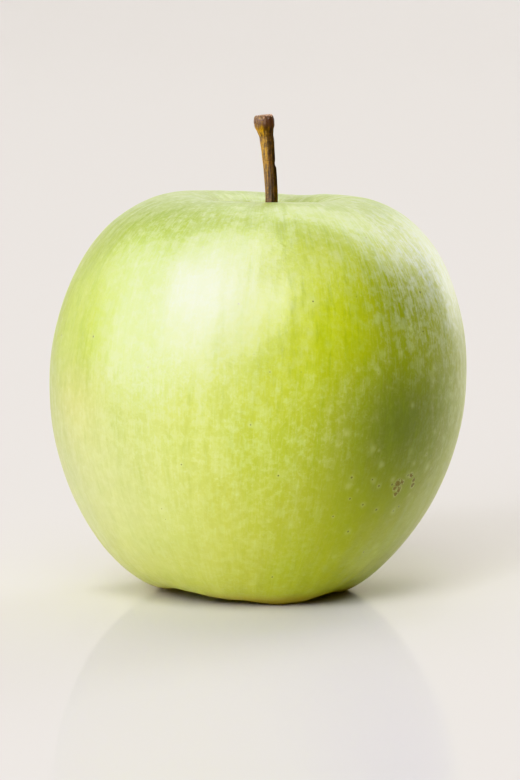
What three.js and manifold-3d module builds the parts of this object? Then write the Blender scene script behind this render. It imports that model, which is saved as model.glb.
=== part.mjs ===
// A green apple that stands on its own base: the fruit, its stem and its dried calyx.
// Millimetres, +Z up. The front of the fruit faces -Y and it rests on z = 0, on three of its five
// low lobes. Azimuths run from the front towards +X.
import * as THREE from "three";
import { mergeVertices } from "three/addons/utils/BufferGeometryUtils.js";
import Module from "manifold-3d";

const wasm = await Module();
wasm.setup();

// Fruit: the half outline
const widestRadius = 40;
const widestHeight = 40.8;
const crownRadius = 16.1;
const crownHeight = 75.5;
const footRadius = 16.9;
const pitDepth = 16;
const basinDepth = 9;

// Fruit: how far each curve of the outline runs on before it turns
const bellyBelow = 24.6;
const bellyAbove = 20.6;
const shoulderFlat = 12.9;
const footFlat = 5.7;
const pitFlat = 8.3;
const basinFlat = 6.4;
const pitThroat = { radius: 4.2, depth: 6.5 };
const basinThroat = 5;

// Fruit: five lobes, counted from the front right one
const lobeCount = 5;
const firstLobe = THREE.MathUtils.degToRad(20.8);
const lobeSwell = 0.002;
const crownSwell = 0.015;
const footGroove = 1.3;
const footLift = [-0.35, -0.45, 0.3, -0.35, 1.65];
const crownLift = [0.3, 0.15, -0.7, 0.25, -0.1];
const lobeReach = 9;
const endReach = 16;

// Fruit: uneven growth
const ovalFront = 0.006;
const ovalSide = 0.009;
const threeFront = 0.002;
const threeSide = 0.01;
const leanPerMm = 0.04;
const leanCentre = 38;
const tallerLeft = 0.024 / 76;

// Holes that the stem and the calyx stand in, and the air round both
const stemHole = { radius: 1.65, depth: 4 };
const calyxHole = { radius: 2, depth: 3 };
const air = 0.35;

// Stem: its centre line as two curves, and its radius at heights up that line
const stemFootHeight = crownHeight - pitDepth - stemHole.depth + air;
const stemLine = [
  [[0.85, stemFootHeight], [1.05, 62], [2.4, 70], [2.33, 75.5]],
  [[2.33, 75.5], [2.2, 79], [1.6, 85.5], [1.05, 90.6]],
];
const stemRadii = [
  [0, 1.15], [0.55, 1.2], [0.68, 1.28], [0.8, 1.36], [0.87, 1.5], [0.92, 1.78],
  [0.955, 2.05], [0.985, 2.1],
];
const knobCrownRadius = 1.75;

// Calyx: five dried sepals and a ring of stamens on a small disc
const disc = { radius: 2.6, thickness: 1.1 };
const sepal = { length: 6.4, width: 2.7, tip: 0.5, thickness: 0.7, cup: 0.25 };
const sepalRoot = 1.7;
const sepalFall = THREE.MathUtils.degToRad(22);
const sepalCurl = THREE.MathUtils.degToRad(110);
const stamenCount = 10;
const stamen = { length: 2.6, radius: 0.35, ring: 1.25, lean: 0.22 };

// Fineness of the faceted solids
const fruitSides = 64;
const curveSteps = { basin: 10, belly: 16, shoulder: 13, pit: 8 };
const stemSides = 14;
const stemSteps = 16;

function finish(color, roughness) {
  return new THREE.MeshStandardMaterial({ color, roughness, metalness: 0 });
}

// A closed geometry with one vertex at each place and no empty triangles.
function welded(geometry) {
  const bare = geometry.clone();
  bare.deleteAttribute("normal");
  bare.deleteAttribute("uv");
  const merged = mergeVertices(bare, 1e-4);
  const kept = [];
  for (let i = 0; i < merged.index.count; i += 3) {
    const triangle = [0, 1, 2].map((step) => merged.index.getX(i + step));
    if (new Set(triangle).size === 3) kept.push(...triangle);
  }
  merged.setIndex(kept);
  return merged;
}

function toManifold(geometry) {
  const { index, attributes } = welded(geometry);
  const vertProperties = Float32Array.from(attributes.position.array);
  const triVerts = Uint32Array.from(index.array);
  return new wasm.Manifold(new wasm.Mesh({ numProp: 3, vertProperties, triVerts }));
}

function toGeometry(manifold) {
  const { vertProperties, triVerts } = manifold.getMesh();
  const geometry = new THREE.BufferGeometry();
  geometry.setAttribute("position", new THREE.BufferAttribute(vertProperties, 3));
  geometry.setIndex(new THREE.BufferAttribute(triVerts, 1));
  return geometry;
}

function reshape(geometry, move) {
  const { position } = geometry.attributes;
  const point = new THREE.Vector3();
  for (let i = 0; i < position.count; i += 1) {
    move(point.fromBufferAttribute(position, i));
    position.setXYZ(i, point.x, point.y, point.z);
  }
  return geometry;
}

function corners(...pairs) {
  return pairs.map(([radius, height]) => new THREE.Vector2(radius, height));
}

function curve(steps, ...pairs) {
  return new THREE.CubicBezierCurve(...corners(...pairs)).getPoints(steps);
}

function joined(...runs) {
  return runs.flatMap((run, i) => (i === 0 ? run : run.slice(1)));
}

// The half outline, from the end of the calyx hole up to the end of the stem hole.
function fruitOutline() {
  const pitFloor = crownHeight - pitDepth;
  const pitEnd = pitFloor - stemHole.depth;
  const basinEnd = basinDepth + calyxHole.depth;
  const crown = [crownRadius, crownHeight];
  return joined(
    corners([0, basinEnd], [calyxHole.radius, basinEnd], [calyxHole.radius, basinDepth]),
    curve(curveSteps.basin, [calyxHole.radius, basinDepth], [basinThroat, basinDepth],
      [footRadius - basinFlat, 0], [footRadius, 0]),
    curve(curveSteps.belly, [footRadius, 0], [footRadius + footFlat, 0],
      [widestRadius, widestHeight - bellyBelow], [widestRadius, widestHeight]),
    curve(curveSteps.shoulder, [widestRadius, widestHeight],
      [widestRadius, widestHeight + bellyAbove], [crownRadius + shoulderFlat, crownHeight], crown),
    curve(curveSteps.pit, crown, [crownRadius - pitFlat, crownHeight],
      [pitThroat.radius, crownHeight - pitThroat.depth], [stemHole.radius, pitFloor]),
    corners([stemHole.radius, pitFloor], [stemHole.radius, pitEnd], [0, pitEnd]),
  );
}

// A hump over one lobe for each entry of lifts, falling to nothing between the lobes.
function lobeLift(lifts, azimuth) {
  const spacing = (2 * Math.PI) / lobeCount;
  const turn = (azimuth - firstLobe) / spacing;
  const nearest = Math.round(turn);
  const fade = Math.cos((turn - nearest) * Math.PI) ** 2;
  return lifts[((nearest % lobeCount) + lobeCount) % lobeCount] * fade;
}

function bell(distance, reach) {
  return Math.exp(-((distance / reach) ** 2));
}

// Moves a point of the round fruit to its place on the lobed, leaning one.
function grow(point) {
  const radius = Math.hypot(point.x, point.y);
  const azimuth = Math.atan2(point.x, -point.y);
  const lobe = Math.cos(lobeCount * (azimuth - firstLobe));
  const swell = 1 + ovalFront * Math.cos(2 * azimuth) + ovalSide * Math.sin(2 * azimuth)
    + threeFront * Math.cos(3 * azimuth) + threeSide * Math.sin(3 * azimuth)
    + (lobeSwell + crownSwell * bell(crownHeight - point.z, endReach)) * lobe;
  const grown = radius * swell;
  if (point.z < widestHeight) {
    const lift = footGroove * (1 - lobe) / 2 + lobeLift(footLift, azimuth);
    point.z += bell(radius - footRadius, lobeReach) * lift;
  } else {
    point.z += bell(radius - crownRadius, lobeReach) * lobeLift(crownLift, azimuth);
  }
  point.x = grown * Math.sin(azimuth);
  point.y = -grown * Math.cos(azimuth);
  point.z -= tallerLeft * point.x * point.z;
  point.x += leanPerMm * (point.z - leanCentre);
  point.z = Math.max(point.z, 0);
}

function makeFruit() {
  const round = new THREE.LatheGeometry(fruitOutline(), fruitSides).rotateX(Math.PI / 2);
  return welded(reshape(round, grow));
}

// The stem is turned about a straight line of unit length, then bent along its centre line.
function makeStem() {
  const line = new THREE.CurvePath();
  for (const points of stemLine) {
    line.add(new THREE.CubicBezierCurve3(...points.map(([x, z]) => new THREE.Vector3(x, 0, z))));
  }
  const radii = new THREE.SplineCurve(corners(...stemRadii.map(([at, radius]) => [radius, at])));
  const side = radii.getPoints(stemSteps);
  const outline = [...corners([0, 0]), ...side, ...corners([knobCrownRadius, 1], [0, 1])];
  const straight = new THREE.LatheGeometry(outline, stemSides).rotateX(Math.PI / 2);
  const bent = reshape(straight, (point) => {
    const at = THREE.MathUtils.clamp(point.z, 0, 1);
    const centre = line.getPointAt(at);
    const along = line.getTangentAt(at);
    const across = new THREE.Vector3(along.z, 0, -along.x).multiplyScalar(point.x);
    point.set(centre.x + across.x, point.y, centre.z + across.z);
  });
  return welded(bent);
}

// A blade that starts flat against the disc's edge, falls outwards and curls back under it.
function makeSepal(azimuth) {
  const blade = new THREE.BoxGeometry(sepal.width, sepal.thickness, sepal.length, 4, 1, 8);
  blade.translate(0, 0, sepal.length / 2);
  const curlRadius = sepal.length / sepalCurl;
  reshape(blade, (point) => {
    const along = THREE.MathUtils.clamp(point.z / sepal.length, 0, 1);
    const half = THREE.MathUtils.lerp(sepal.width, sepal.tip, along ** 1.4) / sepal.width;
    const across = point.x * half;
    const cupped = sepal.cup * across ** 2 / sepal.width * (1 - along);
    const angle = sepalFall + sepalCurl * along;
    const reach = curlRadius * (Math.sin(angle) - Math.sin(sepalFall));
    const fall = curlRadius * (Math.cos(sepalFall) - Math.cos(angle));
    const off = point.y - cupped;
    point.set(across, -(sepalRoot + reach + off * Math.sin(angle)), -(fall - off * Math.cos(angle)));
  });
  return blade.rotateZ(azimuth);
}

function makeStamen(azimuth) {
  const thread = new THREE.CylinderGeometry(stamen.radius, stamen.radius * 0.7, stamen.length, 6);
  thread.rotateX(Math.PI / 2).translate(0, 0, -stamen.length / 2);
  thread.rotateX(-stamen.lean).translate(0, -stamen.ring, -disc.thickness / 2);
  return thread.rotateZ(azimuth);
}

// The calyx hangs under the floor of the basin, with its plug up in the fruit's hole.
function makeCalyx() {
  const top = basinDepth - air;
  const plugHeight = calyxHole.depth;
  const plate = new THREE.CylinderGeometry(disc.radius, disc.radius * 0.85, disc.thickness, 20);
  const plug = new THREE.CylinderGeometry(calyxHole.radius - air, calyxHole.radius - air, plugHeight, 16);
  let body = toManifold(plate.rotateX(Math.PI / 2).translate(0, 0, -disc.thickness / 2))
    .add(toManifold(plug.rotateX(Math.PI / 2).translate(0, 0, plugHeight / 2 - air)));
  for (let i = 0; i < lobeCount; i += 1) {
    const azimuth = firstLobe + (i * 2 * Math.PI) / lobeCount;
    body = body.add(toManifold(makeSepal(azimuth).translate(0, 0, -disc.thickness / 2)));
  }
  for (let i = 0; i < stamenCount; i += 1) {
    body = body.add(toManifold(makeStamen(((i + 0.5) * 2 * Math.PI) / stamenCount)));
  }
  return toGeometry(body).translate(leanPerMm * (top - leanCentre), 0, top);
}

const apple = new THREE.Group();
const pieces = [
  ["fruit", makeFruit(), finish(0xb5cc3f, 0.32)],
  ["stem", makeStem(), finish(0x6e4a1e, 0.75)],
  ["calyx", makeCalyx(), finish(0x4a3a26, 0.9)],
];
for (const [name, geometry, material] of pieces) {
  const mesh = new THREE.Mesh(geometry, material);
  mesh.name = name;
  apple.add(mesh);
}

// The origin is under the middle of the whole apple, on the surface that it stands on.
const middle = new THREE.Box3().setFromObject(apple).getCenter(new THREE.Vector3());
apple.position.set(-middle.x, -middle.y, 0);

export default apple;
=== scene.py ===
import math
import random

import bmesh
import bpy
from mathutils import Matrix, Vector


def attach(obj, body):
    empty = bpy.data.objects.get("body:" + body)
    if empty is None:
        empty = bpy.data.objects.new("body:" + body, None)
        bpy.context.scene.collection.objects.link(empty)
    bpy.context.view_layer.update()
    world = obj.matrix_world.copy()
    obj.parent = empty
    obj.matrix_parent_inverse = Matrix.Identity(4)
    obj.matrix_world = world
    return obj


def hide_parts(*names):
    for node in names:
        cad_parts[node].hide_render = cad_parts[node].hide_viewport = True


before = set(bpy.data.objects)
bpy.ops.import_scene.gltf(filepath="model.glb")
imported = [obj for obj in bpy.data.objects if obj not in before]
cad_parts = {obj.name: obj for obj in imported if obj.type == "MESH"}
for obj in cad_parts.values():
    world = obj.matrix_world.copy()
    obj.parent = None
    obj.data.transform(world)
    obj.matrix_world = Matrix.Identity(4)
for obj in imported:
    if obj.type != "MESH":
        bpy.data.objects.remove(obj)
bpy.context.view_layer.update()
mm = 0.001
coreShift = Vector((0.202, 0.072, 0.0))  # mm, from the fruit's core line to the middle of the whole box


# A Wire is one socket of a node tree. Sums on it add their own Math nodes, in shaders and geometry trees.
class Wire:
    def __init__(self, net, socket):
        self.net = net
        self.socket = socket

    def math(self, operation, *others):
        return self.net.add("ShaderNodeMath", {"operation": operation}, [self, *others])

    def __add__(self, other):
        return self.math("ADD", other)

    def __radd__(self, other):
        return self + other

    def __sub__(self, other):
        return self.math("SUBTRACT", other)

    def __rsub__(self, other):
        return self.net.add("ShaderNodeMath", {"operation": "SUBTRACT"}, [other, self])

    def __mul__(self, other):
        return self.math("MULTIPLY", other)

    def __rmul__(self, other):
        return self * other

    def __truediv__(self, other):
        return self.math("DIVIDE", other)

    def __pow__(self, other):
        return self.math("POWER", other)

    def __neg__(self):
        return self * -1.0

    def __lt__(self, other):
        return self.math("LESS_THAN", other)

    def __gt__(self, other):
        return self.math("GREATER_THAN", other)

    def sin(self):
        return self.math("SINE")

    def cos(self):
        return self.math("COSINE")

    def least(self, other):
        return self.math("MINIMUM", other)

    def most(self, other):
        return self.math("MAXIMUM", other)

    def out(self, name):
        return Wire(self.net, self.net.pick(self.socket.node.outputs, name))

    def parts(self):
        split = self.net.add("ShaderNodeSeparateXYZ", {}, [self])
        return split, split.out("Y"), split.out("Z")

    # 0 below low, 1 above high, and a soft step between them
    def step(self, low, high, start=0.0, end=1.0):
        return self.net.add("ShaderNodeMapRange", {"interpolation_type": "SMOOTHSTEP"}, {
            "Value": self, "From Min": low, "From Max": high, "To Min": start, "To Max": end})

    # 1 where the value is nought, falling away in a bell of this reach
    def bell(self, reach):
        return (-((self / reach) * (self / reach))).math("EXPONENT")


class Net:
    def __init__(self, tree):
        self.tree = tree
        tree.nodes.clear()

    def pick(self, sockets, place):
        usable = [s for s in sockets if s.enabled]
        return usable[place] if isinstance(place, int) else next(s for s in usable if s.name == place)

    def add(self, kind, settings=None, inputs=()):
        node = self.tree.nodes.new(kind)
        for name, setting in (settings or {}).items():
            if name == "stops":
                self.setStops(node.color_ramp, setting)
            else:
                setattr(node, name, setting)
        for place, value in inputs.items() if isinstance(inputs, dict) else enumerate(inputs):
            self.feed(self.pick(node.inputs, place), value)
        return Wire(self, self.pick(node.outputs, 0)) if node.outputs else None

    def feed(self, socket, value):
        if isinstance(value, Wire):
            self.tree.links.new(value.socket, socket)
        elif value is not None:
            socket.default_value = value

    def setStops(self, ramp, stops):
        while len(ramp.elements) < len(stops):
            ramp.elements.new(1.0)
        for element, (place, colour) in zip(ramp.elements, stops):
            element.position = place
            element.color = (*colour, 1.0)

    def vector(self, operation, *values):
        return self.add("ShaderNodeVectorMath", {"operation": operation}, values)

    def scaled(self, vector, scale):
        return self.add("ShaderNodeVectorMath", {"operation": "SCALE"}, {
            "Vector": vector, "Scale": scale})

    def together(self, x, y, z):
        return self.add("ShaderNodeCombineXYZ", {}, [x, y, z])

    def mixed(self, factor, under, over):
        colours = [(*c, 1.0) if isinstance(c, tuple) else c for c in (under, over)]
        return self.add("ShaderNodeMix", {"data_type": "RGBA"}, {
            "Factor": factor, "A": colours[0], "B": colours[1]})

    def noise(self, place, scale, detail=2.0, roughness=0.5):
        return self.add("ShaderNodeTexNoise", {}, {
            "Vector": place, "Scale": scale, "Detail": detail, "Roughness": roughness})

    def distance(self, place, centre):
        spot = self.add("ShaderNodeVectorMath", {"operation": "DISTANCE"}, [place, centre])
        return spot.out("Value")


def linkObject(name, data):
    piece = bpy.data.objects.new(name, data)
    bpy.context.scene.collection.objects.link(piece)
    return piece


def newMaterial(name):
    material = bpy.data.materials.new(name)
    material.use_nodes = True
    return material, Net(material.node_tree)


def finishMaterial(net, values):
    shader = net.add("ShaderNodeBsdfPrincipled", {}, values)
    net.add("ShaderNodeOutputMaterial", {}, {"Surface": shader})


def smoothMesh(mesh):
    mesh.polygons.foreach_set("use_smooth", [True] * len(mesh.polygons))
    mesh.update()


def addPiece(piece, node):
    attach(piece, "root")
    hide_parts(node)


# A geometry tree with its own named inputs. Each entry is name: (socket type, value).
class GrowthTree:
    def __init__(self, name, entries):
        self.tree = bpy.data.node_groups.new(name, "GeometryNodeTree")
        self.entries = entries
        self.keys = {}
        face = self.tree.interface
        face.new_socket("Geometry", in_out="INPUT", socket_type="NodeSocketGeometry")
        for title, entry in entries.items():
            socket = face.new_socket(title, in_out="INPUT", socket_type=entry[0])
            self.keys[title] = socket.identifier
        face.new_socket("Geometry", in_out="OUTPUT", socket_type="NodeSocketGeometry")
        self.net = Net(self.tree)
        self.source = self.net.add("NodeGroupInput")

    def input(self, title):
        return self.source.out(title)

    def close(self, geometry, material):
        real = self.net.add("GeometryNodeRealizeInstances", {}, [geometry])
        dressed = self.net.add("GeometryNodeSetMaterial", {}, {"Geometry": real, "Material": material})
        self.net.add("NodeGroupOutput", {}, [dressed])

    # The plain mesh that the tree makes out of the seed object
    def grow(self, seed, name):
        modifier = seed.modifiers.new(name, "NODES")
        modifier.node_group = self.tree
        for title, entry in self.entries.items():
            modifier[self.keys[title]] = entry[1]
        seed.update_tag()
        evaluated = seed.evaluated_get(bpy.context.evaluated_depsgraph_get())
        mesh = bpy.data.meshes.new_from_object(evaluated)
        seed.modifiers.remove(modifier)
        bpy.data.objects.remove(seed)
        mesh.name = name
        return linkObject(name, mesh)


# Camera: the photograph's view, level with the lower half of the fruit and a little above it
camera = {
    "aimHeight": 38.0,
    "aimRight": 0.23,
    "aimUp": 0.45,
    "distance": 907.0,
    "elevation": 6.54,
    "lens": 220.8,
}


def makeCamera():
    look = math.radians(camera["elevation"])
    back = Vector((0, -math.cos(look), math.sin(look)))
    up = Vector((0, math.sin(look), math.cos(look)))
    aim = coreShift + Vector((camera["aimRight"], 0, camera["aimHeight"])) + up * camera["aimUp"]
    data = bpy.data.cameras.new("studioCamera")
    data.lens = camera["lens"]
    data.clip_end = 20.0
    lens = linkObject("studioCamera", data)
    lens.location = (aim + back * camera["distance"]) * mm
    lens.rotation_euler = (math.pi / 2 - look, 0, 0)
    bpy.context.scene.camera = lens


# Studio: a pale floor with a faint reflection, a soft glow that is brighter behind, and softboxes
studio = {
    "floorColour": (0.676, 0.650, 0.684),
    "floorRoughness": 0.015,
    "floorGloss": 0.14,
    "floorTint": (1.0, 0.97, 0.62),
    "floorRadius": 9.0,
    "floorSegments": 96,
    "glowColour": (1.0, 0.968, 0.925),
    "evenGlow": 0.035,
    "glowSharpness": 8.0,
    "softboxDistance": 7.8,
}
# Each soft glow of the surroundings: azimuth from the front towards +X, elevation and strength
glows = [(180, 62, 2.6), (180, 6, 1.1)]
# Each softbox: azimuth, elevation, side in metres, power in watts. The first kind makes only sheen, the
# second only even light, like a polariser on either.
sheenBoxes = [
    (-50, 40, 2.7, 1700), (-50, 58, 2.7, 700), (-80, 10, 4.2, 800), (-50, 8, 4.2, 600),
    (-105, 35, 4.2, 350), (-66, 76, 2.7, 420), (-5, 40, 2.7, 580), (-50, 22, 2.7, 500),
    (-80, 35, 4.2, 420), (-20, 22, 2.7, 280), (50, 58, 4.2, 150), (130, 38, 4.2, 190),
    (162, 50, 4.2, 180), (150, 8, 4.2, 150), (-130, 15, 4.2, 80),
]
evenBoxes = [(-29, 24, 4.2, 435), (-12, 6, 4.2, 130), (-4, 50, 4.2, 300), (145, 25, 2.7, 220)]


def towards(azimuthDegrees, elevationDegrees):
    azimuth, elevation = math.radians(azimuthDegrees), math.radians(elevationDegrees)
    return Vector((math.sin(azimuth) * math.cos(elevation), -math.cos(azimuth) * math.cos(elevation),
                   math.sin(elevation)))


def makeFloor():
    bm = bmesh.new()
    bmesh.ops.create_circle(
        bm, cap_ends=True, segments=studio["floorSegments"], radius=studio["floorRadius"])
    mesh = bpy.data.meshes.new("studioFloor")
    bm.to_mesh(mesh)
    bm.free()
    material, net = newMaterial("paleFloor")
    matt = net.add("ShaderNodeBsdfDiffuse", {}, {"Color": (*studio["floorColour"], 1.0)})
    gloss = net.add("ShaderNodeBsdfGlossy", {}, {
        "Color": (*studio["floorTint"], 1.0), "Roughness": studio["floorRoughness"]})
    blend = net.add("ShaderNodeMixShader", {}, [studio["floorGloss"], matt, gloss])
    net.add("ShaderNodeOutputMaterial", {}, {"Surface": blend})
    mesh.materials.append(material)
    linkObject("studioFloor", mesh)


def addSoftbox(name, azimuth, elevation, side, watts):
    data = bpy.data.lights.new(name, "AREA")
    data.shape = "SQUARE"
    data.size = side
    data.energy = watts
    away = towards(azimuth, elevation)
    light = linkObject(name, data)
    light.location = Vector((0, 0, camera["aimHeight"] * mm)) + away * studio["softboxDistance"]
    light.rotation_euler = away.to_track_quat("Z", "Y").to_euler()
    light.visible_camera = False
    return light


def makeLights():
    for i, box in enumerate(sheenBoxes):
        addSoftbox("sheenBox%d" % (i + 1), *box).visible_diffuse = False
    for i, box in enumerate(evenBoxes):
        addSoftbox("evenBox%d" % (i + 1), *box).visible_glossy = False
    world = bpy.data.worlds.new("paleStudio")
    world.use_nodes = True
    net = Net(world.node_tree)
    direction = net.add("ShaderNodeTexCoord").out("Generated")
    strength = studio["evenGlow"]
    for azimuth, elevation, glow in glows:
        facing = net.vector("DOT_PRODUCT", direction, tuple(towards(azimuth, elevation))).out("Value")
        strength = ((facing - 1.0) * studio["glowSharpness"]).math("EXPONENT") * glow + strength
    shine = net.add("ShaderNodeBackground", {}, {
        "Color": (*studio["glowColour"], 1.0), "Strength": strength})
    net.add("ShaderNodeOutputWorld", {}, {"Surface": shine})
    bpy.context.scene.world = world


# Fruit, in mm: the half outline from the calyx hole up to the stem hole, then what its lobes do to it
fruit = {
    "widestRadius": 40.0,
    "widestHeight": 40.8,
    "crownRadius": 16.1,
    "crownHeight": 75.5,
    "footRadius": 16.9,
    "pitDepth": 16.0,
    "basinDepth": 9.0,
    "bellyBelow": 24.6,
    "bellyAbove": 20.6,
    "shoulderFlat": 12.9,
    "footFlat": 5.7,
    "pitFlat": 8.3,
    "basinFlat": 6.4,
    "pitThroat": (4.2, 6.5),
    "basinThroat": 5.0,
    "stemHole": (1.65, 4.0),
    "calyxHole": (2.0, 3.0),
    "lobes": 5,
    "firstLobe": 20.8,
    "footLift": [-0.35, -0.45, 0.3, -0.35, 1.65],
    "crownLift": [0.3, 0.15, -0.7, 0.25, -0.1],
    # the finer forms: scales of their noises, or cells round a radian and from calyx to stem
    "dentScale": 0.045,
    "ribCells": (5.0, 2.0),
    "puckerCells": (2.6, 1.5),
    "creaseCells": (2.2, 3.0),
    "basinBelow": 20.0,
    "basinReach": 8.5,
    "pitAbove": 50.0,
    "pitReach": 9.0,
    "mergeDistance": 0.001,
}
# What the growth tree is given, as its named inputs. Its foot groove is shallower than the model's.
fruitGrowth = {
    "Rings": ("NodeSocketInt", 212),
    "Sides": ("NodeSocketInt", 400),
    "Lobe Swell": ("NodeSocketFloat", 0.002),
    "Crown Swell": ("NodeSocketFloat", 0.015),
    "Foot Groove": ("NodeSocketFloat", 0.7),
    "Lobe Reach": ("NodeSocketFloat", 9.0),
    "End Reach": ("NodeSocketFloat", 16.0),
    "Oval Front": ("NodeSocketFloat", 0.006),
    "Oval Side": ("NodeSocketFloat", 0.009),
    "Three Front": ("NodeSocketFloat", 0.002),
    "Three Side": ("NodeSocketFloat", 0.01),
    "Lean": ("NodeSocketFloat", 0.04),
    "Lean Centre": ("NodeSocketFloat", 38.0),
    "Taller Left": ("NodeSocketFloat", 0.024 / 76),
    "Skin Inset": ("NodeSocketFloat", 0.06),
    "Dents": ("NodeSocketFloat", 0.35),
    "Ribs": ("NodeSocketFloat", 0.16),
    "Basin Puckers": ("NodeSocketFloat", 0.5),
    "Pit Creases": ("NodeSocketFloat", 0.35),
}

def makeOutline():
    f = fruit
    foot = f["footRadius"]
    crown = f["crownRadius"]
    wide = f["widestRadius"]
    pitFloor = f["crownHeight"] - f["pitDepth"]
    stemRadius, stemDepth = f["stemHole"]
    calyxRadius, calyxDepth = f["calyxHole"]
    throatRadius, throatDepth = f["pitThroat"]
    # each point: its place, the handle before it and the handle after it, as (radius, height)
    points = [
        ((0, f["basinDepth"] + calyxDepth), None, None),
        ((calyxRadius, f["basinDepth"] + calyxDepth), None, None),
        ((calyxRadius, f["basinDepth"]), None, (f["basinThroat"], f["basinDepth"])),
        ((foot, 0), (foot - f["basinFlat"], 0), (foot + f["footFlat"], 0)),
        ((wide, f["widestHeight"]), (wide, f["widestHeight"] - f["bellyBelow"]),
         (wide, f["widestHeight"] + f["bellyAbove"])),
        ((crown, f["crownHeight"]), (crown + f["shoulderFlat"], f["crownHeight"]),
         (crown - f["pitFlat"], f["crownHeight"])),
        ((stemRadius, pitFloor), (throatRadius, f["crownHeight"] - throatDepth), None),
        ((stemRadius, pitFloor - stemDepth), None, None),
        ((0, pitFloor - stemDepth), None, None),
    ]
    data = bpy.data.curves.new("halfOutline", "CURVE")
    data.dimensions = "3D"
    spline = data.splines.new("BEZIER")
    spline.bezier_points.add(len(points) - 1)
    spline.resolution_u = 64
    for knot, (place, before, after) in zip(spline.bezier_points, points):
        knot.handle_left_type = knot.handle_right_type = "FREE"
        knot.co = (place[0], 0, place[1])
        knot.handle_left = (before[0], 0, before[1]) if before else knot.co
        knot.handle_right = (after[0], 0, after[1]) if after else knot.co
    return linkObject("halfOutline", data)


# Noise stretched along the meridians: so many cells round a radian, and so many from calyx to stem
def grainAlong(net, growth, cells, detail=2.0, roughness=0.5):
    sine, cosine, climb = growth
    place = net.together(sine * cells[0], cosine * cells[0], climb * cells[1])
    return net.noise(place, 1.0, detail, roughness)


# A hump over one lobe for each entry of lifts, falling to nothing between the lobes
def lobeLift(azimuth, lifts):
    spacing = 2 * math.pi / fruit["lobes"]
    total = 0.0
    for i, lift in enumerate(lifts):
        off = (azimuth - (math.radians(fruit["firstLobe"]) + i * spacing)).math("WRAP", math.pi, -math.pi)
        near = off.most(-spacing / 2).least(spacing / 2)
        hump = (near * (fruit["lobes"] / 2)).cos()
        total = hump * hump * lift + total
    return total


def makeFruitTree(material):
    grown = GrowthTree("growFruit", fruitGrowth)
    net = grown.net
    given = grown.input
    grid = net.add("GeometryNodeMeshGrid", {}, {
        "Size X": 1.0, "Size Y": 1.0, "Vertices X": given("Sides") + 1, "Vertices Y": given("Rings")})
    across, along = net.add("GeometryNodeInputPosition").parts()[:2]
    azimuth = across * (2 * math.pi)
    climb = along + 0.5
    growth = net.together(azimuth.sin(), azimuth.cos(), climb)
    storing = {"data_type": "FLOAT_VECTOR", "domain": "POINT"}
    marked = net.add("GeometryNodeStoreNamedAttribute", storing, {
        "Geometry": grid, "Name": "growth", "Value": growth})

    sampled = net.add("GeometryNodeSampleCurve", {"mode": "FACTOR"}, {
        "Curves": given("Geometry"), "Factor": climb})
    radius, height = sampled.out("Position").parts()[::2]
    turn = (azimuth - math.radians(fruit["firstLobe"])) * float(fruit["lobes"])
    lobe = turn.cos()
    crownNear = (fruit["crownHeight"] - height).bell(given("End Reach"))
    twice, thrice = azimuth * 2.0, azimuth * 3.0
    swell = (1.0 + given("Oval Front") * twice.cos() + given("Oval Side") * twice.sin()
             + given("Three Front") * thrice.cos() + given("Three Side") * thrice.sin()
             + (given("Lobe Swell") + given("Crown Swell") * crownNear) * lobe)
    wide = radius * swell
    lower = height < fruit["widestHeight"]
    footLift = given("Foot Groove") * (1.0 - lobe) / 2.0 + lobeLift(azimuth, fruit["footLift"])
    crownLift = lobeLift(azimuth, fruit["crownLift"])
    reach = given("Lobe Reach")
    lifted = (height + lower * (radius - fruit["footRadius"]).bell(reach) * footLift
              + (1.0 - lower) * (radius - fruit["crownRadius"]).bell(reach) * crownLift)
    side = wide * azimuth.sin()
    tall = lifted - given("Taller Left") * side * lifted
    lean = given("Lean") * (tall - given("Lean Centre"))
    placed = net.add("GeometryNodeSetPosition", {}, {
        "Geometry": marked, "Position": net.together(side + lean, -(wide * azimuth.cos()), tall)})
    closed = net.add("GeometryNodeMergeByDistance", {}, {
        "Geometry": placed, "Distance": fruit["mergeDistance"]})

    named = net.add("GeometryNodeInputNamedAttribute", {"data_type": "FLOAT_VECTOR"}, {"Name": "growth"})
    grownBy = named.parts()
    place = net.add("GeometryNodeInputPosition")
    east, north, up = place.parts()
    straight = east - given("Lean") * (up - given("Lean Centre"))
    fromCore = (straight ** 2.0 + north ** 2.0) ** 0.5
    dents = net.noise(place, fruit["dentScale"], 1.0)
    ribs = grainAlong(net, grownBy, fruit["ribCells"], 2.0)
    puckers = grainAlong(net, grownBy, fruit["puckerCells"], 2.0, 0.6)
    creases = grainAlong(net, grownBy, fruit["creaseCells"], 3.0, 0.6)
    basinNear = (up < fruit["basinBelow"]) * fromCore.bell(fruit["basinReach"])
    pitNear = (up > fruit["pitAbove"]) * fromCore.bell(fruit["pitReach"])
    sunk = (given("Skin Inset") + given("Dents") * dents.step(0.25, 0.8)
            + given("Ribs") * ribs.step(0.2, 0.8)
            + given("Basin Puckers") * basinNear * puckers.step(0.3, 0.7)
            + given("Pit Creases") * pitNear * creases.step(0.3, 0.7))
    normal = net.add("GeometryNodeInputNormal")
    uneven = net.add("GeometryNodeSetPosition", {}, {
        "Geometry": closed, "Offset": net.scaled(normal, -sunk)})
    finalEast, finalNorth, finalUp = net.add("GeometryNodeInputPosition").parts()
    settled = net.add("GeometryNodeSetPosition", {}, {
        "Geometry": uneven, "Position": net.together(finalEast, finalNorth, finalUp.most(0.0))})
    sized = net.add("GeometryNodeTransform", {}, {
        "Geometry": settled, "Translation": coreShift * mm, "Scale": (mm, mm, mm)})
    soft = net.add("GeometryNodeSetShadeSmooth", {}, [sized])
    grown.close(soft, material)
    return grown


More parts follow.
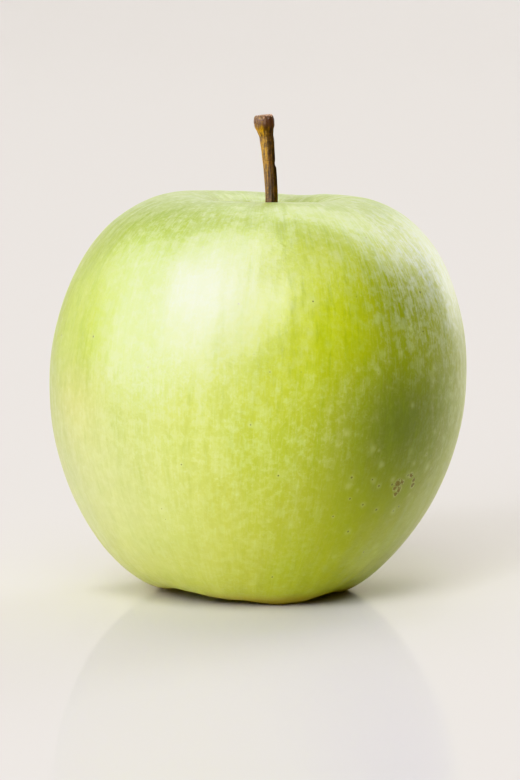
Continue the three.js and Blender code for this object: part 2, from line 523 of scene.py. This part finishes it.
# Where the plain outline, without its lobes, has this azimuth and height: a search along its belly curve
def onSkin(azimuthDegrees, height):
    f = fruit
    foot = (f["footRadius"], 0)
    wide = (f["widestRadius"], f["widestHeight"])
    crown = (f["crownRadius"], f["crownHeight"])
    if height < wide[1]:
        knots = (foot, (foot[0] + f["footFlat"], 0), (wide[0], wide[1] - f["bellyBelow"]), wide)
    else:
        shoulder = (crown[0] + f["shoulderFlat"], crown[1])
        knots = (wide, (wide[0], wide[1] + f["bellyAbove"]), shoulder, crown)
    low, high = 0.0, 1.0
    for halving in range(30):
        middle = (low + high) / 2
        if bezierAt(knots, middle)[1] < height:
            low = middle
        else:
            high = middle
    radius = bezierAt(knots, low)[0]
    azimuth = math.radians(azimuthDegrees)
    lean = fruitGrowth["Lean"][1] * (height - fruitGrowth["Lean Centre"][1])
    return coreShift + Vector((radius * math.sin(azimuth) + lean, -radius * math.cos(azimuth), height))


def bezierAt(knots, t):
    weights = ((1 - t) ** 3, 3 * t * (1 - t) ** 2, 3 * t * t * (1 - t), t ** 3)
    return tuple(sum(w * k[axis] for w, k in zip(weights, knots)) for axis in range(len(knots[0])))


# Colours of the skin, with painted shade, painted light and painted sheen among them, its gloss, and the
# heights of its relief in mm
skin = {
    "yellow": (0.310, 0.335, 0.026),
    # gold: the skin's own golden yellow, whose patch high in the middle is also painted light
    "gold": (0.430, 0.490, 0.006),
    "green": (0.235, 0.325, 0.006),
    # painted shade: a dark olive for the right flank, where the shade falls
    "oliveShade": (0.068, 0.096, 0.004),
    "fresh": (0.330, 0.385, 0.004),
    # pale: partly the skin's paler yellow, partly a painted sheen, the whitish veil of the floor's
    # reflection low on the left
    "pale": (0.385, 0.400, 0.200),
    "blush": (0.470, 0.430, 0.170),
    "paleStreak": (0.480, 0.530, 0.290),
    # painted shade: a darker yellow-green low on the right, where the shade falls
    "deepShade": (0.220, 0.250, 0.005),
    "shade": (0.230, 0.262, 0.020),
    # painted contact shade: a warm brown for the underside where it meets the floor
    "foot": (0.360, 0.180, 0.070),
    "darkStreak": (0.165, 0.240, 0.004),
    "lenticel": (0.42, 0.46, 0.20),
    "speck": (0.06, 0.050, 0.012),
    "russet": (0.100, 0.068, 0.012),
    "pitRusset": (0.36, 0.30, 0.11),
    # painted sheen on the right shoulder: its colour, centre, reach and share
    "shoulderSheen": (0.440, 0.480, 0.500),
    "shoulderSheenAt": (60, 64),
    "shoulderSheenReach": 14.0,
    "shoulderSheenShare": 0.26,
    "calmColours": ("gold", "deepShade", "oliveShade", "fresh"),
    "driftScale": 0.05,
    "driftGreen": 0.35,
    "crownGreen": 0.65,
    "crownFrom": 66.0,
    "crownFull": 76.0,
    "mottleScale": 0.52,
    "fleckScale": 1.5,
    "paleByHeight": (5.0, 62.0, 0.42, 1.35),
    "darkByHeight": (15.0, 62.0, 0.4, 1.1),
    "lenticelScale": 0.30,
    "lenticelShare": 0.55,
    "heartShare": 0.75,
    "speckScale": 0.37,
    "speckShare": 0.6,
    "contactTintShare": 0.45,
    "contactTintTop": 3.0,
    "roughness": 0.34,
    "specular": 0.35,
    "subsurface": 0.22,
    "subsurfaceRadius": (1.0, 0.85, 0.22),
    "subsurfaceScale": 0.0022,
    "coat": 0.15,
    "coatRoughness": 0.27,
    "beltRadius": 38.0,  # mm, what a mark's azimuth is measured on
    "outlineLength": 146.5,  # mm, what its climb is measured on
    "ripple": 0.16,
    "peel": 0.075,
    "pores": 0.03,
    "streakRelief": 0.012,
    "lenticelRelief": 0.006,
    "heartRelief": 0.012,
    "russetRelief": 0.02,
}
# Broad patches of one colour: the colour, azimuth in degrees, height and reach in mm, and strength. The
# pale patch low on the left is partly a painted sheen, the gold patch high in the middle partly painted
# light, and the deep and olive patches on the right and the shade patch under the highlight are painted
# shade
skinPatches = [
    ("pale", -58, 25, 26, 0.85), ("green", -38, 68, 26, 0.85), ("green", 150, 50, 45, 0.5),
    ("blush", -62, 39, 8, 0.5), ("deepShade", 40, 22, 21, 0.85), ("gold", 19, 54, 21, 0.75),
    ("oliveShade", 40, 36, 17, 0.9), ("oliveShade", 42, 57, 8, 0.4), ("shade", -13, 57, 13, 0.7),
    ("fresh", -67, 55, 14, 0.7),
]
# Marks at places of their own: azimuth in degrees, climb from calyx (0) to stem (1), and in mm the radius
# of the pale halo and of the dark heart
skinMarks = [
    (27, 0.390, 0.9, 0.26), (34, 0.385, 0.7, 0.2), (37, 0.375, 0.8, 0.26), (42, 0.375, 0.7, 0.3),
    (48, 0.385, 0.9, 0.24), (28, 0.360, 0.5, 0.24), (24, 0.335, 0.5, 0.2), (33, 0.350, 0.9, 0.24),
    (39, 0.340, 0.8, 0.3), (49, 0.340, 0.6, 0.24), (31, 0.310, 1.1, 0.26), (43, 0.270, 0.6, 0.22),
    (6, 0.395, 0.9, 0.2), (8, 0.235, 0.8, 0.24), (53, 0.620, 1.0, 0.3), (50, 0.570, 0.9, 0.2),
    (14, 0.615, 1.8, 0.2), (-7, 0.610, 0.6, 0.26), (-22, 0.685, 0.6, 0.2), (39, 0.705, 0.7, 0.2),
    (-54, 0.555, 0.6, 0.26), (-32, 0.525, 0.6, 0.22), (24, 0.680, 1.6, 0), (13, 0.575, 1.1, 0),
]
# The rough brown patch low on the right: azimuth, climb and reach of each spot of it
russetSpots = [
    (44.4, 0.375, 1.0), (45.6, 0.366, 0.8), (43.6, 0.369, 0.6), (46.2, 0.376, 0.6), (44.9, 0.360, 0.6),
    (51.6, 0.376, 0.55), (52.0, 0.369, 0.65), (49.5, 0.384, 0.65),
]


def makeSkinMaterial():
    material, net = newMaterial("waxySkin")
    place = net.scaled(net.add("ShaderNodeTexCoord").out("Object"), 1000.0)  # mm
    east, north, up = place.parts()
    growth = net.add("ShaderNodeAttribute", {"attribute_name": "growth"}).out("Vector")
    grownBy = growth.parts()
    fromCore = (east * east + north * north) ** 0.5

    # broad zones, painted shade and painted light among them. Under the gold, deep, olive and fresh
    # patches the pale streaks and flecks fade out
    drift = net.noise(place, skin["driftScale"], 2.0, 0.5)
    crown = up.step(skin["crownFrom"], skin["crownFull"])
    greenness = drift.step(0.40, 0.70) * skin["driftGreen"] + crown * skin["crownGreen"]
    colour = net.mixed(greenness.least(1.0), skin["yellow"], skin["green"])
    calm = 0.0
    for name, azimuth, height, reach, strength in skinPatches:
        share = net.distance(place, tuple(onSkin(azimuth, height))).bell(reach) * strength
        colour = net.mixed(share, colour, skin[name])
        if name in skin["calmColours"]:
            calm = share.most(calm)

    # streaks that run with the meridians, and soft mottling
    broad = grainAlong(net, grownBy, (13.0, 5.0), 2.0, 0.55)
    fine = grainAlong(net, grownBy, (46.0, 26.0), 2.0, 0.6)
    mottle = net.noise(place, skin["mottleScale"], 4.0, 0.65)
    fleck = net.noise(place, skin["fleckScale"], 2.0, 0.6)
    flecks = grainAlong(net, grownBy, (75.0, 45.0), 2.0, 0.6)
    pale = (broad.step(0.42, 0.75) * 0.10 + fine.step(0.46, 0.74) * 0.10 + mottle.step(0.45, 0.64) * 0.24
            + fleck.step(0.50, 0.70) * 0.16 + flecks.step(0.50, 0.66) * 0.14)
    dark = (broad.step(0.30, 0.52, 1.0, 0.0) * 0.16 + fine.step(0.28, 0.48, 1.0, 0.0) * 0.24
            + mottle.step(0.36, 0.50, 1.0, 0.0) * 0.11)
    pale = pale * (1.0 - calm) * up.step(*skin["paleByHeight"])
    dark = dark * up.step(*skin["darkByHeight"])
    colour = net.mixed(pale.least(1.0), colour, skin["paleStreak"])
    colour = net.mixed(dark, colour, skin["darkStreak"])

    # painted sheen: a whitish veil painted high on the right, where the backlight reflects off the
    # shoulder
    nearShoulderSheen = net.distance(place, tuple(onSkin(*skin["shoulderSheenAt"]))).bell(skin["shoulderSheenReach"])
    shoulderSheen = nearShoulderSheen * (flecks.step(0.42, 0.62) + mottle.step(0.42, 0.60)) * skin["shoulderSheenShare"]
    colour = net.mixed(shoulderSheen, colour, skin["shoulderSheen"])

    # lenticels: soft pale dots, some with a dark heart, and tiny dark specks
    dots = net.add("ShaderNodeTexVoronoi", {"feature": "F1"}, {
        "Vector": place, "Scale": skin["lenticelScale"]})
    chance, size, kind = dots.out("Color").parts()
    off = dots / skin["lenticelScale"]
    dot = off.bell(0.30 + size * 0.55) * (chance > 0.3) * (0.25 + kind * 0.5)
    heart = off.step(0.08, 0.24, 1.0, 0.0) * (kind > 0.55) * (chance > 0.3)
    specks = net.add("ShaderNodeTexVoronoi", {"feature": "F1"}, {
        "Vector": place, "Scale": skin["speckScale"]})
    lucky = specks.out("Color").parts()[0] > 0.6
    speck = (specks / skin["speckScale"]).step(0.05, 0.14, 1.0, 0.0) * lucky

    # the marks at places of their own, measured along the skin
    def awayFrom(azimuth, climbed):
        turn = math.radians(azimuth)
        size = (skin["beltRadius"], skin["beltRadius"], skin["outlineLength"])
        middle = (size[0] * math.sin(turn), size[1] * math.cos(turn), size[2] * climbed)
        return net.distance(net.vector("MULTIPLY", growth, size), middle)

    for azimuth, climbed, haloRadius, heartRadius in skinMarks:
        away = awayFrom(azimuth, climbed)
        dot = (away.bell(haloRadius * 0.7) * 0.45).most(dot)
        if heartRadius:
            heart = away.step(heartRadius * 0.4, heartRadius * 1.2, 1.0, 0.0).most(heart)

    # the rough brown patch
    near = 0.0
    for azimuth, climbed, reach in russetSpots:
        near = awayFrom(azimuth, climbed).bell(reach).most(near)
    grit = net.noise(place, 2.4, 3.0, 0.75)
    russet = (near * 0.7 + (grit - 0.5) * 1.6).step(0.25, 0.55) * near.step(0.05, 0.35)
    colour = net.mixed(dot * skin["lenticelShare"], colour, skin["lenticel"])
    darkest = (heart * skin["heartShare"]).most(speck * skin["speckShare"])
    colour = net.mixed(darkest, colour, skin["speck"])
    # painted contact shade: the underside turns warm brown where it meets the floor, standing in for the
    # warm tint of the shade and the floor's reflection there
    colour = net.mixed(up.step(0.5, skin["contactTintTop"], skin["contactTintShare"], 0.0), colour, skin["foot"])
    colour = net.mixed(near.step(0.1, 0.6) * 0.35, colour, skin["lenticel"])
    colour = net.mixed(russet * 0.85, colour, skin["russet"])

    # the pit and the basin
    pitRays = grainAlong(net, grownBy, (7.0, 4.0), 4.0, 0.65)
    deepPit = (up > fruit["pitAbove"]) * fromCore.step(2.5, 11.0, 1.0, 0.0)
    colour = net.mixed((deepPit * 0.65 + pitRays * 0.5 * deepPit).least(0.9), colour, skin["pitRusset"])
    deepBasin = (up < fruit["basinBelow"]) * fromCore.step(2.0, 9.0, 1.0, 0.0)
    colour = net.mixed(deepBasin * pitRays.step(0.3, 0.7), colour, skin["pitRusset"])

    # relief, in mm
    ripple = grainAlong(net, grownBy, (9.0, 11.0), 1.0)
    peel = net.noise(place, 0.45, 2.0, 0.5)
    pores = net.noise(place, 1.4, 2.0, 0.5)
    relief = (ripple * skin["ripple"] + peel * skin["peel"] + pores * skin["pores"]
              + fine * skin["streakRelief"] + dot * skin["lenticelRelief"] - heart * skin["heartRelief"]
              + russet * skin["russetRelief"])
    bump = net.add("ShaderNodeBump", {}, {"Strength": 1.0, "Distance": mm, "Height": relief})
    finishMaterial(net, {
        "Base Color": colour,
        "Roughness": skin["roughness"] + (fine * 0.05 + russet * 0.25 + deepPit * 0.15),
        "Specular IOR Level": skin["specular"],
        "Subsurface Weight": skin["subsurface"],
        "Subsurface Radius": skin["subsurfaceRadius"],
        "Subsurface Scale": skin["subsurfaceScale"],
        "Coat Weight": skin["coat"],
        "Coat Roughness": skin["coatRoughness"],
        "Normal": bump,
    })
    return material


def makeFruit():
    tree = makeFruitTree(makeSkinMaterial())
    piece = tree.grow(makeOutline(), "waxyFruit")
    addPiece(piece, "fruit")
    print("fruit:", len(piece.data.polygons), "faces")


# Stem, in mm: its centre line, the same as the model's, and what its bark does
stem = {
    "line": [
        [(0.85, 55.85), (1.05, 62), (2.4, 70), (2.33, 75.5)],
        [(2.33, 75.5), (2.2, 79), (1.6, 85.5), (1.05, 90.6)],
    ],
    "radii": [(0, 1.13), (0.55, 1.15), (0.70, 1.2), (0.80, 1.3), (0.88, 1.44), (0.912, 1.64),
              (0.942, 1.96), (0.968, 2.02), (0.988, 1.9), (1.0, 1.66)],
    "knobShift": -0.2,
    "scarAt": 0.715,
    "scarStep": 0.16,
    "topHeight": 90.74,
    "rings": 150,
    "sides": 56,
    "ridge": 0.09,
    "ridges": 7,
    "knots": 9,
    "knotWidth": 0.35,
    "knotLength": 0.025,
    "scarFacing": 0.2,
    "scarNotch": 0.12,
    "tearRings": (0.93, 0.82, 0.68, 0.52, 0.36, 0.2, 0.08),
    "tearBumps": 16,
    "tearBumpWidth": 0.16,
    "tearSunk": 0.1,
    "seed": 7,
}
bark = {
    "dark": (0.016, 0.007, 0.002),
    "brown": (0.090, 0.041, 0.004),
    "gold": (0.430, 0.225, 0.005),
    "red": (0.170, 0.050, 0.010),
    "tornPale": (0.72, 0.42, 0.25),
    "tornDark": (0.060, 0.020, 0.010),
    "redBetween": (66.0, 78.0),
    "rindBetween": (87.6, 89.2),
    "tornBetween": (90.2, 90.6),
    "crumbHeight": 3.2,
    "roughness": 0.42,
    "specular": 0.25,
}


# 0 on the side of low, 1 on the side of high, with a soft change between
def fade(value, low, high):
    t = min(max((value - low) / (high - low), 0.0), 1.0)
    return t * t * (3 - 2 * t)


def stemRadius(at):
    for (a, low), (b, high) in zip(stem["radii"], stem["radii"][1:]):
        if at <= b:
            t = (at - a) / (b - a)
            return low + (high - low) * t * t * (3 - 2 * t)
    return stem["radii"][-1][1]


def stemCentres(count):
    fine = [bezierAt(span, i / 100) for span in stem["line"] for i in range(101)]
    lengths = [0.0]
    for a, b in zip(fine, fine[1:]):
        lengths.append(lengths[-1] + math.dist(a, b))
    centres = []
    for i in range(count + 1):
        want = lengths[-1] * i / count
        j = next(k for k in range(1, len(lengths)) if lengths[k] >= want - 1e-9)
        span = lengths[j] - lengths[j - 1]
        t = (want - lengths[j - 1]) / span if span else 0.0
        centres.append(Vector(fine[j - 1]).lerp(Vector(fine[j]), t))
    return centres


def joinRings(bm, rings):
    for low, high in zip(rings, rings[1:]):
        for k in range(len(low)):
            m = (k + 1) % len(low)
            bm.faces.new((low[k], low[m], high[m], high[k]))


def makeStem():
    dice = random.Random(stem["seed"])
    ridges = [(dice.randint(5, 13), dice.uniform(0, 6.28), dice.uniform(-2.5, 2.5), dice.uniform(0.4, 1.0))
              for i in range(stem["ridges"])]
    knots = [(dice.uniform(0, 6.28), dice.uniform(0.88, 0.99), dice.uniform(0.1, 0.28))
             for i in range(stem["knots"])]
    centres = stemCentres(stem["rings"])
    scarAt = stem["scarAt"]
    bm = bmesh.new()
    rings = []
    for i, centre in enumerate(centres):
        at = i / stem["rings"]
        before, after = centres[max(i - 1, 0)], centres[min(i + 1, stem["rings"])]
        along = (after - before).normalized()
        ring = []
        for k in range(stem["sides"]):
            turn = 2 * math.pi * k / stem["sides"]
            wave = sum(size * math.sin(count * turn + phase + twist * at)
                       for count, phase, twist, size in ridges)
            radius = stemRadius(at) - stem["ridge"] + stem["ridge"] * wave / 2.6
            for around, height, size in knots:
                gap = math.atan2(math.sin(turn - around), math.cos(turn - around)) / stem["knotWidth"]
                radius -= size * math.exp(-gap ** 2 - ((at - height) / stem["knotLength"]) ** 2)
            facing = max(math.cos(turn + stem["scarFacing"]), 0.0) ** 2
            radius += facing * stem["scarStep"] * fade(at, scarAt + 0.008, scarAt - 0.004)
            radius -= facing * stem["scarNotch"] * math.exp(-((at - scarAt - 0.02) / 0.012) ** 2)
            sideways = radius * math.cos(turn) + stem["knobShift"] * fade(at, 0.87, 0.94)
            height = min(centre.y - sideways * along.x, stem["topHeight"])
            ring.append(bm.verts.new((centre.x + sideways * along.y, radius * math.sin(turn), height)))
        rings.append(ring)
    joinRings(bm, rings)
    bm.faces.new(list(reversed(rings[0])))
    tearTop(bm, rings[-1], dice)
    mesh = bpy.data.meshes.new("woodyStem")
    bmesh.ops.recalc_face_normals(bm, faces=bm.faces)
    bm.to_mesh(mesh)
    bm.free()
    mesh.transform(Matrix.Scale(mm, 4) @ Matrix.Translation(coreShift))
    smoothMesh(mesh)
    mesh.materials.append(makeBark())
    piece = linkObject("woodyStem", mesh)
    addPiece(piece, "stem")
    print("stem:", len(mesh.polygons), "faces")


# The torn end: rings that step in over a ragged, slightly sunk face
def tearTop(bm, rim, dice):
    middle = sum((v.co for v in rim), Vector()) / len(rim)
    middle.z -= stem["tearSunk"]
    rings = [rim]
    bumps = [(dice.uniform(0, 6.28), dice.uniform(0.2, 0.9), dice.uniform(-0.3, 0.12))
             for i in range(stem["tearBumps"])]
    for share in stem["tearRings"]:
        ring = []
        for k, v in enumerate(rim):
            turn = 2 * math.pi * k / len(rim)
            flat = middle.lerp(v.co, share)
            rise = 0.03 - stem["tearSunk"] * (1 - share)
            for around, out, size in bumps:
                gap = math.hypot(share * math.cos(turn) - out * math.cos(around),
                                 share * math.sin(turn) - out * math.sin(around))
                rise += size * math.exp(-(gap / stem["tearBumpWidth"]) ** 2)
            raised = flat + Vector((0, 0, rise))
            raised.z = min(raised.z, stem["topHeight"])
            ring.append(bm.verts.new(raised))
        rings.append(ring)
    joinRings(bm, rings)
    bm.faces.new(rings[-1])


def makeBark():
    material, net = newMaterial("stemBark")
    place = net.scaled(net.add("ShaderNodeTexCoord").out("Object"), 1000.0)
    axes = place.parts()
    east, up = axes[0], axes[2]
    grain = net.noise(net.vector("MULTIPLY", place, (2.4, 2.4, 0.22)), 1.0, 4.0, 0.65)
    blotch = net.noise(place, 0.5, 3.0, 0.6)
    dapple = net.noise(place, 2.6, 2.0, 0.6)
    # painted light: the side of the stem towards the lamps, on the left, is lighter and more golden, and
    # the far side darker
    paintedLitSide = (coreShift.x + 1.7 - east).step(-0.9, 1.1)
    tone = (grain - 0.5) * 1.5 + (blotch - 0.5) * 0.7 + (dapple - 0.5) * 0.5 + paintedLitSide * 0.4 + 0.27
    colour = net.add("ShaderNodeValToRGB", {"stops": [
        (0.15, bark["dark"]), (0.5, bark["brown"]), (0.85, bark["gold"])]}, [tone])
    redder = blotch.step(0.45, 0.65) * up.step(*bark["redBetween"], 1.0, 0.35)
    colour = net.mixed(redder * 0.45, colour, bark["red"])
    crumbs = net.noise(place, 2.2, 4.0, 0.75)
    rind = up.step(*bark["rindBetween"])
    colour = net.mixed(rind * (crumbs.step(0.38, 0.55) * 0.5 + 0.45), colour, bark["tornDark"])
    top = (up + (crumbs - 0.5) * bark["crumbHeight"]).step(*bark["tornBetween"])
    flakes = net.noise(place, 3.2, 4.0, 0.7)
    torn = net.mixed(flakes.step(0.40, 0.56), bark["tornDark"], bark["tornPale"])
    colour = net.mixed(top, colour, torn)
    relief = grain * 0.16 + dapple * 0.06 + crumbs * rind * 0.25 + flakes * top * 0.2
    bump = net.add("ShaderNodeBump", {}, {"Strength": 1.0, "Distance": mm, "Height": relief})
    finishMaterial(net, {
        "Base Color": colour,
        "Roughness": bark["roughness"] + grain * 0.25,
        "Specular IOR Level": bark["specular"],
        "Normal": bump,
    })
    return material


# Calyx, in mm: five dried sepals round a ring of stamens, hung in the basin
calyx = {
    "top": 8.65,
    "discRadius": 2.55,
    "discDepth": 1.1,
    "discRings": ((0.3, 0.0), (0.85, 0.0), (1.0, 0.35), (0.95, 0.8), (0.8, 1.0), (0.35, 0.85)),
    "discSides": 40,
    "sepalLength": 6.2,
    "sepalWidth": 2.8,
    "sepalThickness": 0.22,
    "sepalRoot": 1.7,
    "sepalTip": 0.12,
    "sepalRows": 28,
    "fall": 22.0,
    "curl": 112.0,
    "stamens": 15,
    "stamenLength": 2.6,
    "stamenRings": (
        (0, 0.14), (0.3, 0.1), (0.6, 0.08), (0.8, 0.09), (0.88, 0.2), (0.96, 0.2), (1.0, 0.08)),
    "stamenSides": 8,
    "dark": (0.035, 0.022, 0.012),
    "brown": (0.14, 0.088, 0.042),
    "pale": (0.34, 0.27, 0.17),
    "roughness": 0.8,
    "specular": 0.25,
    "reliefHeight": 0.2,
    "seed": 11,
}


def makeCalyx():
    dice = random.Random(calyx["seed"])
    bm = bmesh.new()
    addDisc(bm)
    for i in range(fruit["lobes"]):
        addSepal(bm, math.radians(fruit["firstLobe"] + 360 * i / fruit["lobes"]), dice)
    for i in range(calyx["stamens"]):
        addStamen(bm, 2 * math.pi * (i + dice.uniform(0.2, 0.8)) / calyx["stamens"], dice)
    bmesh.ops.recalc_face_normals(bm, faces=bm.faces)
    mesh = bpy.data.meshes.new("driedCalyx")
    bm.to_mesh(mesh)
    bm.free()
    lean = fruitGrowth["Lean"][1] * (calyx["top"] - fruitGrowth["Lean Centre"][1])
    mesh.transform(Matrix.Scale(mm, 4) @ Matrix.Translation(coreShift + Vector((lean, 0, calyx["top"]))))
    smoothMesh(mesh)
    mesh.materials.append(makeCalyxMaterial())
    piece = linkObject("driedCalyx", mesh)
    addPiece(piece, "calyx")
    print("calyx:", len(mesh.polygons), "faces")


def closeRings(bm, rings):
    joinRings(bm, rings)
    bm.faces.new(rings[0])
    bm.faces.new(rings[-1])


def addDisc(bm):
    rings = []
    for share, drop in calyx["discRings"]:
        ring = []
        for k in range(calyx["discSides"]):
            turn = 2 * math.pi * k / calyx["discSides"]
            uneven = 1 + 0.04 * math.sin(5 * turn) + 0.02 * math.sin(13 * turn)
            out = calyx["discRadius"] * share * uneven
            place = (out * math.sin(turn), -out * math.cos(turn), -drop * calyx["discDepth"])
            ring.append(bm.verts.new(place))
        rings.append(ring)
    closeRings(bm, rings)


# One sepal: a tapering blade, cupped across, that falls outwards and curls back under itself
def addSepal(bm, azimuth, dice):
    curl = math.radians(calyx["curl"] * dice.uniform(0.85, 1.1))
    fall = math.radians(calyx["fall"])
    length = calyx["sepalLength"] * dice.uniform(0.86, 1.0)
    twist = dice.uniform(-0.5, 0.5)
    crinkle = [(dice.uniform(4, 11), dice.uniform(0, 6.28), dice.uniform(0.03, 0.1)) for i in range(4)]
    curlRadius = length / curl
    turned = Matrix.Rotation(azimuth, 3, "Z")
    across = [j / 6 for j in range(-6, 7)]
    rings = []
    for i in range(calyx["sepalRows"] + 1):
        at = i / calyx["sepalRows"]
        angle = fall + curl * at
        reach = calyx["sepalRoot"] + curlRadius * (math.sin(angle) - math.sin(fall))
        drop = curlRadius * (math.cos(fall) - math.cos(angle)) + calyx["discDepth"] * 0.5
        half = calyx["sepalWidth"] / 2 * (1 - at ** 1.5) + calyx["sepalTip"]
        ring = []
        for side in (1, -1):
            for a in (across if side > 0 else reversed(across)):
                wave = sum(size * math.sin(count * at * 3 + phase + 2 * a)
                           for count, phase, size in crinkle)
                edge = 1 - abs(a) ** 4
                cup = 0.35 * a * a * (1 - at)
                off = (side * calyx["sepalThickness"] / 2 * max(edge, 0.12) + cup + wave
                       + twist * a * at * 0.5)
                back, down = reach + off * math.sin(angle), drop - off * math.cos(angle)
                point = Vector((a * half, -back, -down))
                ring.append(bm.verts.new(turned @ point))
        rings.append(ring)
    closeRings(bm, rings)


def addStamen(bm, azimuth, dice):
    turned = Matrix.Rotation(azimuth, 3, "Z")
    length = calyx["stamenLength"] * dice.uniform(0.75, 1.1)
    out = dice.uniform(0.8, 1.5)
    lean = dice.uniform(-0.35, 0.25)
    bend = dice.uniform(-0.3, 0.3)
    rings = []
    for at, radius in calyx["stamenRings"]:
        centre = Vector((bend * at * at, -(out + lean * at), -(calyx["discDepth"] * 0.7 + length * at)))
        ring = []
        for k in range(calyx["stamenSides"]):
            turn = 2 * math.pi * k / calyx["stamenSides"]
            spoke = Vector((radius * math.cos(turn), radius * math.sin(turn), 0))
            ring.append(bm.verts.new(turned @ (centre + spoke)))
        rings.append(ring)
    closeRings(bm, rings)


def makeCalyxMaterial():
    material, net = newMaterial("driedCalyx")
    place = net.scaled(net.add("ShaderNodeTexCoord").out("Object"), 1000.0)
    fibre = net.noise(net.vector("MULTIPLY", place, (2.2, 2.2, 0.7)), 1.0, 4.0, 0.65)
    fleck = net.noise(place, 1.6, 2.0, 0.6)
    colour = net.add("ShaderNodeValToRGB", {"stops": [
        (0.3, calyx["dark"]), (0.55, calyx["brown"]), (0.8, calyx["pale"])]},
        [fibre * 0.7 + fleck * 0.35])
    bump = net.add("ShaderNodeBump", {}, {
        "Strength": 0.8, "Distance": calyx["reliefHeight"] * mm, "Height": fibre + fleck})
    finishMaterial(net, {
        "Base Color": colour,
        "Roughness": calyx["roughness"],
        "Specular IOR Level": calyx["specular"],
        "Normal": bump,
    })
    return material


bpy.context.scene.view_settings.view_transform = "Khronos PBR Neutral"
makeCamera()
makeFloor()
makeLights()
print("studio: camera, floor and", len(sheenBoxes) + len(evenBoxes), "softboxes")
makeFruit()
makeStem()
makeCalyx()
